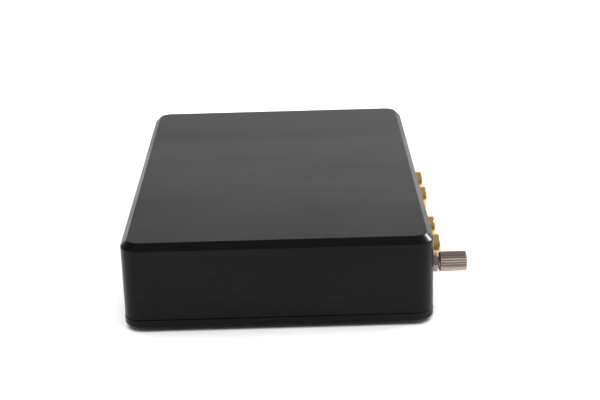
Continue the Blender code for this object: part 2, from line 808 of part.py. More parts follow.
def connector_side(way):
    """Where a lead meets the connector, toward -Y or +Y of its middle."""
    return at(CONNECTOR_X[0] - GAP, way * CONNECTOR_HALF / 2, ON_BOARD + CONNECTOR_HEIGHT / 2)


def make_button_lead():
    start = at(-33.8 * MM, BUTTON_Y + SWITCH_HALF + GAP, AXIS_Z)
    route = bend(start, Vector((0, 8, 0)) * MM, connector_side(-1), Vector((8, 0, 0)) * MM)
    dress(place("button_lead", wire("button_lead", route, LEAD_RADIUS)), plastic("lead_grey", (0.1, 0.1, 0.1)))


def make_lamp_lead():
    start = at(-INNER_SIDE + 2 * GAP + LAMP_RIM[1], LAMP_Y, AXIS_Z)
    route = bend(start, Vector((14, 0, 0)) * MM, connector_side(1), Vector((14, 0, 0)) * MM)
    dress(place("lamp_lead", wire("lamp_lead", route, LEAD_RADIUS)), plastic("lead_red", (0.4, 0.02, 0.02)))


# ---------------------------------------------------------------- circuit board and what stands on it


def make_board():
    low = at(BOARD_X[0], BOARD_Y[0], BOARD_BOTTOM)
    board = block("circuit_board", low, at(BOARD_X[1], BOARD_Y[1], BOARD_TOP))
    for x, y in BOARD_POSTS:
        hole = rod("board_hole", BOARD_SCREW[0] + GAP, BASE_TOP, CEILING, at(x, y, 0), sides=12)
        cut(board, hole)
    dress(board, plastic("board_green", (0.02, 0.14, 0.06)))


def make_board_screws():
    """Pan head screws from below, into the posts of the case."""
    shank, head, head_height = BOARD_SCREW
    top = BOARD_TOP + BOARD_SCREW_LENGTH - 1 * MM
    high = BOARD_BOTTOM - GAP
    profile = [
        (0, top),
        (shank, top),
        (shank, high),
        (head, high),
        (head, high - head_height * 0.6),
        (head * 0.7, high - head_height),
        (0, high - head_height),
    ]
    mesh = turned_mesh("board_screw", profile, 12, ring=False)
    for x, y in BOARD_POSTS:
        name = "board_screw_" + CORNER_NAMES[math.copysign(1, x), math.copysign(1, y)]
        dress(place(name, mesh.copy(), at(x, y, 0)), steel(name + "_steel"))


def make_transformer(x, y):
    z = ON_BOARD + COIL_HEIGHT / 2
    name = "transformer"
    core = block(name + "_core", at(x, y, z) - CORE / 2, at(x, y, z) + CORE / 2)
    for way in (-1, 1):
        middle = at(x + way * (LIMB + WINDOW.x) / 2, y, z)
        half_window = WINDOW / 2 + Vector((0, 0, GAP))
        cut(core, block("window", middle - half_window, middle + half_window))
    dress(core, finish(name + "_iron", (0.22, 0.22, 0.24), 0.45, 1.0))
    outer = Vector((LIMB + 2 * WINDOW.x - 2 * GAP, WINDOW.y - 2 * GAP, COIL_HEIGHT))
    tunnel = Vector((LIMB + 2 * GAP, CORE.y, CORE.z + 2 * GAP))
    neck = tunnel + 2 * Vector((FLANGE, 0, FLANGE))
    bobbin = block(name + "_bobbin", at(x, y, z) - outer / 2, at(x, y, z) + outer / 2)
    half_waist = Vector((outer.x, outer.y / 2 - FLANGE, outer.z))
    waist = block("waist", at(x, y, z) - half_waist, at(x, y, z) + half_waist)
    half_neck = Vector((neck.x / 2, CORE.y, neck.z / 2))
    cut(waist, block("neck", at(x, y, z) - half_neck, at(x, y, z) + half_neck))
    cut(bobbin, waist)
    cut(bobbin, block("tunnel", at(x, y, z) - tunnel / 2, at(x, y, z) + tunnel / 2))
    dress(bobbin, plastic(name + "_nylon", (0.7, 0.68, 0.6)))
    coil_half = Vector((outer.x / 2 - GAP, outer.y / 2 - FLANGE - GAP, COIL_HEIGHT / 2 - 0.5 * MM))
    coil = block(name + "_winding", at(x, y, z) - coil_half, at(x, y, z) + coil_half)
    hole = Vector((neck.x / 2 + GAP, CORE.y, neck.z / 2 + GAP))
    cut(coil, block("coil_hole", at(x, y, z) - hole, at(x, y, z) + hole))
    dress(coil, finish(name + "_copper", (0.5, 0.2, 0.08), 0.35, 0.8))


def standing_box(name, x, y, size, material):
    """A box with cut edges that stands on the board."""
    low = at(x - size.x / 2, y - size.y / 2, ON_BOARD)
    dress(block(name, low, low + size, 0.5 * MM), material)


def make_relay(side, x, y):
    standing_box("relay_" + side, x, y, RELAY, plastic("relay_cover_" + side, (0.75, 0.36, 0.04)))


def make_coupling_capacitor(side, x, y):
    film = plastic("film_case_" + side, (0.45, 0.03, 0.03))
    standing_box("coupling_capacitor_" + side, x, y, COUPLING_CAPACITOR, film)


def make_filter_capacitor(x, y):
    """A can with a groove rolled in near its foot."""
    radius, step = CAPACITOR_RADIUS, 0.6 * MM
    groove = radius - step / 2
    profile = [
        (0, CAPACITOR_HEIGHT),
        (radius - step, CAPACITOR_HEIGHT),
        (radius, CAPACITOR_HEIGHT - step),
        (radius, 3 * step),
        (groove, 2 * step),
        (radius, step),
        (groove, 0),
        (0, 0),
    ]
    can = turned("filter_capacitor", profile, at(x, y, ON_BOARD), sides=16)
    dress(can, plastic("capacitor_sleeve", (0.02, 0.03, 0.09)))


def make_chip(name, x, y, pins_a_side):
    """A moulded chip along Y with a row of legs down each side."""
    under, leg_top, top = CHIP_LEVELS
    half_width = CHIP_WIDTH / 2
    half_length = pins_a_side * LEG_PITCH / 2 + 0.3 * MM
    low = at(x - half_width, y - half_length, ON_BOARD + under)
    high = at(x + half_width, y + half_length, ON_BOARD + top)
    chip = block(name, low, high, 0.4 * MM)
    for i in range(pins_a_side):
        middle = y + (i - (pins_a_side - 1) / 2) * LEG_PITCH
        leg_low = at(x - LEG_SPAN / 2, middle - LEG_WIDTH / 2, ON_BOARD)
        leg_high = at(x + LEG_SPAN / 2, middle + LEG_WIDTH / 2, ON_BOARD + leg_top)
        join(chip, block("legs", leg_low, leg_high))
    between = half_width + 0.3 * MM
    space_high = at(x + between, y + half_length, ON_BOARD + under)
    cut(chip, block("under_chip", at(x - between, y - half_length, ON_BOARD - GAP), space_high))
    dress(chip, black_plastic(name + "_resin"))


def make_regulator(x, y):
    """A power package that lies on its tab."""
    end = TAB.x / 2
    tab_low = at(x - end, y - TAB.y / 2, ON_BOARD)
    tab = block("regulator", tab_low, tab_low + TAB)
    body_low = at(x - end, y - TAB.y * 0.49, ON_BOARD + TAB.z * 0.75)
    body_high = at(x + end * 0.18, y + TAB.y * 0.49, ON_BOARD + REGULATOR_TOP)
    join(tab, block("regulator_body", body_low, body_high, 0.3 * MM))
    cut(tab, rod("tab_hole", TAB_HOLE_RADIUS, 0, CEILING, at(x + end * 0.6, y, 0), sides=16))
    dress(tab, black_plastic("regulator_resin"))


def make_board_components():
    make_transformer(4 * MM, -31 * MM)
    make_relay("output", 25.5 * MM, 10 * MM)
    make_relay("input", 25.5 * MM, -31 * MM)
    make_coupling_capacitor("left", 4 * MM, 16 * MM)
    make_coupling_capacitor("right", 4 * MM, 4 * MM)
    make_filter_capacitor(6 * MM, 43 * MM)
    make_regulator(19.5 * MM, 31 * MM)
    make_chip("controller_chip", -20 * MM, -24 * MM, 7)
    make_chip("driver_chip", -20 * MM, 22 * MM, 4)


def build():
    make_case_shell()
    make_base_plate()
    make_base_screws()
    make_feet()
    for name, y in socket_places().items():
        make_socket(name, y)
    make_earth_screw()
    make_earth_tag()
    make_earth_wire()
    make_hex_nut()
    make_washer()
    make_thumb_nut()
    make_inlet()
    make_button_bezel()
    make_button_nut()
    make_start_button()
    make_button_spring()
    make_switch_body()
    make_lamp()
    make_front_connector()
    make_button_lead()
    make_lamp_lead()
    make_board()
    make_board_screws()
    make_board_components()


clear_scene()
parts = new_collection("demagnetizer")
cutters = new_collection("cutters")
build()
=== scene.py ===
import math

import bmesh
import bpy
from mathutils import Matrix, Vector


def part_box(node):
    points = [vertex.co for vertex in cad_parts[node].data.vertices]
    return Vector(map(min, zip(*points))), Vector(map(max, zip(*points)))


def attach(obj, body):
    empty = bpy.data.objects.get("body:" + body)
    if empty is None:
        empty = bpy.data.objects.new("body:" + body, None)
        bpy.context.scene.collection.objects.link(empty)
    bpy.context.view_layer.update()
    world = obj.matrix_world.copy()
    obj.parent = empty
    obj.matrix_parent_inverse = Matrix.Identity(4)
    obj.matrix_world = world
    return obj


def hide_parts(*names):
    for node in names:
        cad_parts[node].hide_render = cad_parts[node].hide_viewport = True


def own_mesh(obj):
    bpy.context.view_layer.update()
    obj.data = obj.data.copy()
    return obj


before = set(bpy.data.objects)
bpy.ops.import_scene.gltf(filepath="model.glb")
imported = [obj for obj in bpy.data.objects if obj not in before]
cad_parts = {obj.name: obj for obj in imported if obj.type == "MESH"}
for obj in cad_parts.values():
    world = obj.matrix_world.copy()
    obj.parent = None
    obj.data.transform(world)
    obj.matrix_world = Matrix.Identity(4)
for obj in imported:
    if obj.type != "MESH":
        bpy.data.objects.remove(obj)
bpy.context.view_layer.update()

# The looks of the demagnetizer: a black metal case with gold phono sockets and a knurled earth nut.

MM = 0.001

# ---------------------------------------------------------------- sizes read from the frame

SHELL_LOW, SHELL_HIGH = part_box("case_shell")
BASE_LOW, BASE_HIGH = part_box("base_plate")
MIDDLE_X = (SHELL_LOW.x + SHELL_HIGH.x) / 2
SIDE_X = SHELL_HIGH.x  # outer face of the socket side
FRONT_X = SHELL_LOW.x  # outer face of the button side
CORNER_RADIUS = 6 * MM
TOP_CHAMFER = 2 * MM
WALL = 3.5 * MM
ROOF = 3 * MM
EDGE = 0.16 * MM  # broken edges of the machined case
THREAD_PITCH = 0.5 * MM
SMOOTH_BELOW = math.radians(32)  # faces that meet at less than this are shaded as one
UP = (0, 0, 1)

# ---------------------------------------------------------------- sizes stated here

BARREL_HOLE = 5.25 * MM
INLET_HOLE = 5.5 * MM
EARTH_HOLE = 1.7 * MM
BEZEL_HOLE = 5.2 * MM
LAMP_HOLE = 2.7 * MM
HOLE_MOUTH = 0.25 * MM  # how far the mouth of a hole in a long side is broken
BASE_POST, BASE_POST_HOLE = 4.2 * MM, 1.65 * MM
BOARD_POST, BOARD_POST_HOLE = 3 * MM, 1.4 * MM
BASE_SCREW = 1.5 * MM
COUNTERSINK = 1.6 * MM  # height of a base screw's cone
EARTH_SCREW = 1.5 * MM
NUT_BORE = 1.62 * MM
BEZEL_LIP = 1.2 * MM  # thickness of the bezel's face over the plunger

# ---------------------------------------------------------------- names and colours that repeat

SOCKETS = ("input_right", "input_left", "output_right", "output_left")
CORNERS = ("near_left", "near_right", "far_left", "far_right")
BLACK_RESIN = ((0.012, 0.012, 0.013), (0.022, 0.022, 0.023))


def middle_of(node):
    low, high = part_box(node)
    return (low + high) / 2


def upright(low, high, height):
    """The point at a height on the upright line through the middle of a box."""
    return Vector(((low.x + high.x) / 2, (low.y + high.y) / 2, height))


# ---------------------------------------------------------------- node trees written as expressions


class Value:
    """A socket in a node tree. Arithmetic on it adds Math nodes."""

    def __init__(self, tree, socket):
        self.tree = tree
        self.socket = socket

    def math(self, operation, *others):
        return self.tree.node("ShaderNodeMath", {"operation": operation}, [self, *others])

    def __add__(self, other):
        return self.math("ADD", other)

    def __radd__(self, other):
        return self.math("ADD", other)

    def __sub__(self, other):
        return self.math("SUBTRACT", other)

    def __rsub__(self, other):
        return self.tree.node("ShaderNodeMath", {"operation": "SUBTRACT"}, [other, self])

    def __mul__(self, other):
        return self.math("MULTIPLY", other)

    def __rmul__(self, other):
        return self.math("MULTIPLY", other)

    def __truediv__(self, other):
        return self.math("DIVIDE", other)

    def __pow__(self, other):
        return self.math("POWER", other)

    def clamped(self):
        return self.tree.node("ShaderNodeClamp", {}, [self])

    def steps(self, low, high, to_low=0.0, to_high=1.0):
        """This value stretched from low..high to the new range, smoothly and no further."""
        settings = {"interpolation_type": "SMOOTHSTEP", "clamp": True}
        return self.tree.node("ShaderNodeMapRange", settings, [self, low, high, to_low, to_high])


class Tree:
    """A node tree. Its one method adds a node from its type, its settings and its inputs."""

    def __init__(self, nodes, links):
        self.nodes = nodes
        self.links = links

    def node(self, kind, settings, inputs, output=0):
        made = self.nodes.new(kind)
        for name, setting in settings.items():
            if name == "stops":
                self.set_stops(made.color_ramp, setting)
            else:
                setattr(made, name, setting)
        entries = inputs.items() if isinstance(inputs, dict) else enumerate(inputs)
        for name, entry in entries:
            socket = made.inputs[name]
            if isinstance(entry, Value):
                self.links.new(entry.socket, socket)
            else:
                socket.default_value = entry
        return Value(self, made.outputs[output])

    @staticmethod
    def set_stops(ramp, stops):
        while len(ramp.elements) < len(stops):
            ramp.elements.new(1)
        for element, (place, colour) in zip(ramp.elements, stops):
            element.position = place
            element.color = (*colour, 1)


class Finish(Tree):
    """A material with a Principled shader, its patterns laid out on Object coordinates."""

    def __init__(self, name, **fixed):
        self.material = bpy.data.materials.new(name)
        self.material.use_nodes = True
        tree = self.material.node_tree
        super().__init__(tree.nodes, tree.links)
        self.shader = self.nodes["Principled BSDF"]
        for socket, setting in fixed.items():
            self.shader.inputs[socket.replace("_", " ")].default_value = setting
        self.place = self.node("ShaderNodeTexCoord", {}, {}, "Object")

    def stretched(self, scale, centre=(0, 0, 0)):
        """The place, measured from a centre and stretched."""
        moved = self.node("ShaderNodeVectorMath", {"operation": "SUBTRACT"}, [self.place, centre])
        return self.node("ShaderNodeVectorMath", {"operation": "MULTIPLY"}, [moved, scale])

    def noise(self, scale, detail=3.0, roughness=0.5, at=None, distortion=0.0):
        inputs = {"Vector": at or self.place, "Scale": scale, "Detail": detail}
        inputs |= {"Roughness": roughness, "Distortion": distortion}
        return self.node("ShaderNodeTexNoise", {}, inputs, "Fac")

    def cells(self, scale, at=None):
        inputs = {"Vector": at or self.place, "Scale": scale}
        return self.node("ShaderNodeTexVoronoi", {"feature": "F1"}, inputs, "Distance")

    def axis(self, letter):
        return self.node("ShaderNodeSeparateXYZ", {}, [self.place], letter)

    def blend(self, factor, first, second):
        """A colour between two colours."""
        settings = {"data_type": "RGBA", "clamp_factor": True}
        inputs = {0: factor, 6: self.colour(first), 7: self.colour(second)}
        return self.node("ShaderNodeMix", settings, inputs, 2)

    @staticmethod
    def colour(entry):
        return entry if isinstance(entry, Value) else (*entry, 1)

    def bump(self, height, depth, strength):
        inputs = {"Strength": strength, "Distance": depth, "Height": height}
        return self.node("ShaderNodeBump", {}, inputs)

    def distance(self, centre):
        """How far out from the line along X through the centre."""
        across = self.stretched((0, 1, 1), centre)
        return self.node("ShaderNodeVectorMath", {"operation": "LENGTH"}, [across], "Value")

    def feed(self, **varying):
        for socket, value in varying.items():
            self.links.new(value.socket, self.shader.inputs[socket.replace("_", " ")])
        return self.material


# ---------------------------------------------------------------- finishes


def black_anodised(name):
    """Dense black anodising over a fine blasted surface, faintly wiped and with a little dust."""
    f = Finish(name, Specular_IOR_Level=0.105)
    cloud = f.noise(9, 4, 0.6)
    wipe = f.noise(22, 5, 0.62, at=f.stretched((0.35, 1.0, 1.0)), distortion=0.6)
    grain = f.noise(5200, 2, 0.6)
    tint = f.blend(cloud, (0.0016, 0.0015, 0.0016), (0.0030, 0.0028, 0.0029))
    tint = f.blend(grain.steps(0.45, 0.75) * 0.5, tint, (0.006, 0.0057, 0.0058))
    speck = 1 - f.cells(140).steps(0.012, 0.03)
    sparse = f.noise(60, 1).steps(0.62, 0.66)
    tint = f.blend(speck * sparse * 0.35, tint, (0.2, 0.2, 0.2))
    rough = 0.24 + wipe.steps(0.3, 0.75) * 0.08 + grain * 0.05
    fine = f.bump(grain, 0.004 * MM, 0.25)
    return f.feed(Base_Color=tint, Roughness=rough, Normal=fine)


def gold_plate(name):
    """Polished gold with the faint rings that turning leaves."""
    f = Finish(name, Metallic=1.0, Specular_IOR_Level=0.5)
    rings = f.noise(1, 3, 0.55, at=f.stretched((5200, 60, 60)))
    cloud = f.noise(700, 3, 0.6)
    tint = f.blend(cloud, (0.76, 0.50, 0.16), (0.86, 0.61, 0.25))
    rough = 0.19 + rings * 0.08 + cloud.steps(0.5, 0.8) * 0.05
    return f.feed(Base_Color=tint, Roughness=rough, Normal=f.bump(rings, 0.006 * MM, 0.4))


def nickel_plate(name, centre, groove_radius):
    """Satin nickel, warm, with painted shade darkening it down in the grooves round the axis through the
    centre.
    """
    f = Finish(name, Metallic=1.0, Specular_IOR_Level=0.5)
    radius = f.distance(centre)
    # mask of the grooves: it drives the painted shade in the colour and a rougher surface
    groove_shade_mask = 1 - radius.steps(groove_radius - 0.02 * MM, groove_radius + 0.2 * MM)
    cloud = f.noise(420, 4, 0.6)
    fine = f.noise(1, 3, 0.6, at=f.stretched((900, 9000, 9000)))
    tint = f.blend(cloud, (0.37, 0.315, 0.275), (0.48, 0.415, 0.365))
    # painted shade: the colour is darkened in the grooves, where shadow would fall
    tint = f.blend(groove_shade_mask * 0.45, tint, (0.20, 0.165, 0.14))
    rough = 0.36 + fine * 0.12 + groove_shade_mask * 0.15
    return f.feed(Base_Color=tint, Roughness=rough, Normal=f.bump(fine, 0.005 * MM, 0.35))


def turned_steel(name, centre):
    """Bright steel faced on a lathe: fine rings round the axis."""
    f = Finish(name, Metallic=1.0, Specular_IOR_Level=0.5)
    radius = f.distance(centre)
    inputs = {"W": radius + f.axis("X"), "Scale": 14000}
    rings = f.node("ShaderNodeTexNoise", {"noise_dimensions": "1D"}, inputs, "Fac")
    cloud = f.noise(300, 3, 0.6)
    tint = f.blend(cloud, (0.34, 0.34, 0.35), (0.46, 0.46, 0.47))
    rough = 0.2 + rings * 0.12 + cloud.steps(0.55, 0.8) * 0.08
    return f.feed(Base_Color=tint, Roughness=rough, Normal=f.bump(rings, 0.008 * MM, 0.5))


def zinc_steel(name):
    """Zinc plated steel with a mottled, slightly blue surface."""
    f = Finish(name, Metallic=1.0, Specular_IOR_Level=0.5)
    cloud = f.noise(520, 4, 0.65)
    fine = f.noise(4200, 2)
    tint = f.blend(cloud, (0.40, 0.41, 0.43), (0.60, 0.61, 0.62))
    rough = 0.28 + fine * 0.16
    return f.feed(Base_Color=tint, Roughness=rough, Normal=f.bump(fine, 0.006 * MM, 0.3))


def rubber(name):
    f = Finish(name, Specular_IOR_Level=0.3)
    grain = f.noise(2600, 4, 0.7)
    dust = f.noise(130, 3).steps(0.5, 0.75)
    tint = f.blend(dust * 0.4, (0.014, 0.014, 0.014), (0.05, 0.049, 0.047))
    rough = 0.72 + dust * 0.15
    return f.feed(Base_Color=tint, Roughness=rough, Normal=f.bump(grain, 0.03 * MM, 0.6))


def moulded(name, dark, light, gloss=0.4):
    """Moulded plastic: a fine grain and a slow change of tone."""
    f = Finish(name, Specular_IOR_Level=0.5)
    cloud = f.noise(180, 3, 0.6)
    grain = f.noise(3400, 2, 0.6)
    tint = f.blend(cloud, dark, light)
    rough = gloss + grain * 0.1 + cloud.steps(0.5, 0.8) * 0.06
    return f.feed(Base_Color=tint, Roughness=rough, Normal=f.bump(grain, 0.012 * MM, 0.5))


def circuit_green(name):
    """Solder mask: copper tracks show through as a lighter pattern, with tinned pads."""
    f = Finish(name, Specular_IOR_Level=0.5)
    along = f.cells(190, at=f.stretched((1.0, 0.22, 1.0)))
    across = f.cells(170, at=f.stretched((0.25, 1.0, 1.0)))
    track = 1 - along.steps(0.1, 0.16) * across.steps(0.12, 0.18)
    pad = 1 - f.cells(393.7).steps(0.14, 0.18)
    weave = f.noise(900, 2)
    tint = f.blend(track, (0.008, 0.055, 0.022), (0.02, 0.14, 0.055))
    tint = f.blend(weave * 0.3, tint, (0.012, 0.08, 0.03))
    tint = f.blend(pad * 0.8, tint, (0.55, 0.52, 0.48))
    height = track * 0.6 + pad * 0.4
    return f.feed(Base_Color=tint, Roughness=0.25 + weave * 0.2, Normal=f.bump(height, 0.03 * MM, 0.6))


def striped(name, letter, pitch, dark, light, metallic, rough):
    """Layers or turns laid side by side along one axis, as laminations or winding wire, with painted
    shade: each is lighter on its crown and darker where it meets the next.
    """
    f = Finish(name, Metallic=metallic, Specular_IOR_Level=0.5)
    phase = (f.axis(letter) / pitch).math("FRACT")
    height = 1 - ((phase - 0.5) * 2) ** 2
    cloud = f.noise(260, 3, 0.6)
    # painted shade: lighter on each crown, darker in the hollows between turns and layers
    tint = f.blend(height * 0.6 + cloud * 0.4, dark, light)
    shine = rough + (1 - height) * 0.2
    return f.feed(Base_Color=tint, Roughness=shine, Normal=f.bump(height, pitch * 0.2, 0.8))


def lamp_resin(name):
    """Clear red resin."""
    f = Finish(name, Specular_IOR_Level=0.6, Transmission_Weight=0.35, IOR=1.52)
    cloud = f.noise(500, 2)
    tint = f.blend(cloud, (0.34, 0.006, 0.004), (0.5, 0.012, 0.008))
    return f.feed(Base_Color=tint, Roughness=0.06 + cloud * 0.06)


def pale_floor(name):
    f = Finish(name, Specular_IOR_Level=0.1)
    cloud = f.noise(3, 3)
    tint = f.blend(cloud, (0.90, 0.90, 0.90), (0.93, 0.93, 0.93))
    return f.feed(Base_Color=tint, Roughness=0.85 + cloud * 0.1)


# ---------------------------------------------------------------- shapes


def as_object(name, bm, material):
    """A piece from a bmesh, smooth except at its real edges."""
    bmesh.ops.remove_doubles(bm, verts=bm.verts, dist=1e-7)
    mesh = bpy.data.meshes.new(name)
    bm.to_mesh(mesh)
    bm.free()
    mesh.materials.append(material)
    mesh.shade_smooth()
    mesh.set_sharp_from_angle(angle=SMOOTH_BELOW)
    obj = bpy.data.objects.new(name, mesh)
    bpy.context.scene.collection.objects.link(obj)
    return obj


def bake(obj):
    """Replaces the object's mesh with its evaluated one and drops its modifiers."""
    graph = bpy.context.evaluated_depsgraph_get()
    mesh = bpy.data.meshes.new_from_object(obj.evaluated_get(graph))
    obj.modifiers.clear()
    obj.data = mesh
    mesh.name = obj.name
    mesh.set_sharp_from_angle(angle=SMOOTH_BELOW)


def combine(obj, others, operation):
    """Cuts other shapes from the piece, or joins them to it."""
    for other in others:
        modifier = obj.modifiers.new("Combine", "BOOLEAN")
        modifier.operation = operation
        modifier.solver = "EXACT"
        modifier.object = other
    bake(obj)
    for other in others:
        bpy.data.objects.remove(other, do_unlink=True)


def arc(centre, radius, start, end, count):
    """Points on an arc in a profile, angles in degrees."""
    points = []
    for i in range(count + 1):
        angle = math.radians(start + (end - start) * i / count)
        points.append((centre[0] + radius * math.cos(angle), centre[1] + radius * math.sin(angle)))
    return points


def softened(profile, radius, closed=False):
    """The profile with each of its corners rounded; an open profile keeps its two ends."""
    count = 3
    made = []
    last = len(profile) - 1
    for i, here in enumerate(profile):
        here = Vector(here)
        if not closed and i in (0, last):
            made.append(tuple(here))
            continue
        before = Vector(profile[i - 1]) - here
        after = Vector(profile[(i + 1) % len(profile)]) - here
        reach = min(radius, before.length * 0.4, after.length * 0.4)
        start = here + before.normalized() * reach
        end = here + after.normalized() * reach
        for step in range(count + 1):
            t = step / count
            made.append(tuple(start.lerp(here, t).lerp(here.lerp(end, t), t)))
    return made


def turned(name, profile, centre, material, axis=(1, 0, 0), sides=64, closed=False):
    """A turned piece.

    The profile holds (radius, height) pairs; heights run from the centre along the axis.
    """
    bm = bmesh.new()
    turn = Vector((0, 0, 1)).rotation_difference(Vector(axis)).to_matrix().to_4x4()
    matrix = Matrix.Translation(centre) @ turn
    rings = []
    for radius, height in profile:
        if radius == 0:
            rings.append([bm.verts.new(matrix @ Vector((0, 0, height)))])
            continue
        ring = []
        for i in range(sides):
            angle = 2 * math.pi * i / sides
            point = Vector((radius * math.cos(angle), radius * math.sin(angle), height))
            ring.append(bm.verts.new(matrix @ point))
        rings.append(ring)
    pairs = list(zip(rings, rings[1:]))
    if closed:
        pairs.append((rings[-1], rings[0]))
    for upper, lower in pairs:
        skin(bm, upper, lower)
    bmesh.ops.recalc_face_normals(bm, faces=bm.faces)
    return as_object(name, bm, material)


def skin(bm, first, second):
    """Faces between two rings, or between a ring and a point."""
    count = max(len(first), len(second))
    for i in range(count):
        j = (i + 1) % count
        if len(first) == 1:
            bm.faces.new((first[0], second[j], second[i]))
        elif len(second) == 1:
            bm.faces.new((first[i], first[j], second[0]))
        else:
            bm.faces.new((first[i], first[j], second[j], second[i]))


def outline(low, high, inset, radius):
    """A rectangle with round corners, drawn in from the box by the inset."""
    x0, y0, x1, y1 = low.x + inset, low.y + inset, high.x - inset, high.y - inset
    radius = max(radius - inset, 0.4 * MM)
    near = 0.5 * MM  # a point this far along each straight keeps the flats flat
    points = []
    corners = (((x1, y1), 0), ((x0, y1), 90), ((x0, y0), 180), ((x1, y0), 270))
    for (x, y), start in corners:
        across = Vector((math.cos(math.radians(start + 45)), math.sin(math.radians(start + 45))))
        inward = Vector((math.copysign(radius, across.x), math.copysign(radius, across.y)))
        centre = Vector((x, y)) - inward
        bow = [Vector(p) for p in arc(centre, radius, start, start + 90, 16)]
        first = Vector((-math.sin(math.radians(start)), math.cos(math.radians(start))))
        points.append(bow[0] - first * near)
        points += bow
        points.append(bow[-1] + Vector((-first.y, first.x)) * near)
    return points


def slab(name, low, high, profile, radius, material):
    """A solid of stacked outlines. The profile holds (inset, height) pairs, in order."""
    bm = bmesh.new()
    rings = []
    for inset, height in profile:
        rings.append([bm.verts.new((p.x, p.y, height)) for p in outline(low, high, inset, radius)])
    for upper, lower in zip(rings, rings[1:]):
        skin(bm, upper, lower)
    bm.faces.new(rings[0])
    bm.faces.new(reversed(rings[-1]))
    bmesh.ops.recalc_face_normals(bm, faces=bm.faces)
    return as_object(name, bm, material)


def supported(profile, edge=EDGE, hold=0.25 * MM):
    """The profile with broken edges, and a point near each end of every flat to keep it flat."""
    made = []
    for i, here in enumerate(profile):
        here = Vector(here)
        if i in (0, len(profile) - 1):
            made.append(tuple(here))
            continue
        before = Vector(profile[i - 1]) - here
        after = Vector(profile[i + 1]) - here
        start = here + before.normalized() * edge
        end = here + after.normalized() * edge
        made.append(tuple(here + before.normalized() * (edge + hold)))
        for t in (0, 0.33, 0.67, 1):
            made.append(tuple(start.lerp(here, t).lerp(here.lerp(end, t), t)))
        made.append(tuple(here + after.normalized() * (edge + hold)))
    return made


def plug(radius, start, end, centre, material, axis=(1, 0, 0), sides=48):
    """A cylinder from start to end, to cut with or to join on."""
    profile = [(0, end), (radius, end), (radius, start), (0, start)]
    return turned("cutter", profile, centre, material, axis, sides)


# ---------------------------------------------------------------- geometry node trees


def new_geometry_tree(name, inputs):
    """A geometry tree with the stated inputs, and the value that each of them brings."""
    group = bpy.data.node_groups.new(name, "GeometryNodeTree")
    for label, kind in [("Geometry", "NodeSocketGeometry"), *inputs]:
        group.interface.new_socket(name=label, in_out="INPUT", socket_type=kind)
    group.interface.new_socket(name="Geometry", in_out="OUTPUT", socket_type="NodeSocketGeometry")
    tree = Tree(group.nodes, group.links)
    entry = group.nodes.new("NodeGroupInput")
    values = {socket.name: Value(tree, socket) for socket in entry.outputs if socket.name}
    return group, tree, values


def finish_tree(tree, geometry, material):
    """Realises the copies, gives them their material and joins them to the output."""
    real = tree.node("GeometryNodeRealizeInstances", {}, [geometry])
    dressed = tree.node("GeometryNodeSetMaterial", {}, {"Geometry": real, "Material": material})
    output = tree.nodes.new("NodeGroupOutput")
    tree.links.new(dressed.socket, output.inputs[0])


def rows_tree():
    """Copies of a piece in rows: so many along one step, and so many of those rows along another."""
    kinds = [
        ("In A Row", "NodeSocketInt"),
        ("Step", "NodeSocketVector"),
        ("Rows", "NodeSocketInt"),
        ("Row Step", "NodeSocketVector"),
        ("Finish", "NodeSocketMaterial"),
    ]
    group, tree, given = new_geometry_tree("rows", kinds)
    geometry = given["Geometry"]
    for count, step in (("In A Row", "Step"), ("Rows", "Row Step")):
        line = {"Count": given[count], "Offset": given[step]}
        points = tree.node("GeometryNodeMeshLine", {}, line)
        copies = {"Points": points, "Instance": geometry}
        geometry = tree.node("GeometryNodeInstanceOnPoints", {}, copies)
    finish_tree(tree, geometry, given["Finish"])
    return group


def ridges_tree():
    """Grooves pressed into a round piece about an axis along X.

    They make a straight knurl, or a thread where they advance along the axis.
    """
    kinds = [
        ("Centre", "NodeSocketVector"),
        ("Around", "NodeSocketFloat"),
        ("Per Metre", "NodeSocketFloat"),
        ("Depth", "NodeSocketFloat"),
        ("Inner Radius", "NodeSocketFloat"),
        ("Start", "NodeSocketFloat"),
        ("End", "NodeSocketFloat"),
        ("Fade", "NodeSocketFloat"),
        ("Finish", "NodeSocketMaterial"),
    ]
    group, tree, given = new_geometry_tree("ridges", kinds)
    place = tree.node("GeometryNodeInputPosition", {}, {})
    offset = tree.node("ShaderNodeVectorMath", {"operation": "SUBTRACT"}, [place, given["Centre"]])
    x, y, z = (tree.node("ShaderNodeSeparateXYZ", {}, [offset], letter) for letter in "XYZ")
    radius = (y * y + z * z).math("SQRT")
    angle = y.math("ARCTAN2", z) / (2 * math.pi)
    phase = angle * given["Around"] + x * given["Per Metre"]
    height = ((phase - phase.math("FLOOR")) * 2 - 1).math("ABSOLUTE")
    outside = radius.math("GREATER_THAN", given["Inner Radius"])
    after_start = ((x - given["Start"]) / given["Fade"]).clamped()
    before_end = ((given["End"] - x) / given["Fade"]).clamped()
    into = after_start * before_end
    change = height * outside * into * given["Depth"] * -1 / radius
    push = tree.node("ShaderNodeCombineXYZ", {}, [0.0, y * change, z * change])
    moved = tree.node("GeometryNodeSetPosition", {}, {"Geometry": given["Geometry"], "Offset": push})
    finish_tree(tree, moved, given["Finish"])
    return group


def apply_tree(obj, group, **settings):
    """Runs the tree on the piece with the given inputs and keeps the plain mesh that it makes."""
    modifier = obj.modifiers.new(group.name, "NODES")
    modifier.node_group = group
    inputs = (item for item in group.interface.items_tree if item.in_out == "INPUT")
    names = {item.name: item.identifier for item in inputs}
    for name, setting in settings.items():
        modifier[names[name.replace("_", " ")]] = setting
    bake(obj)


ROWS = rows_tree()
RIDGES = ridges_tree()


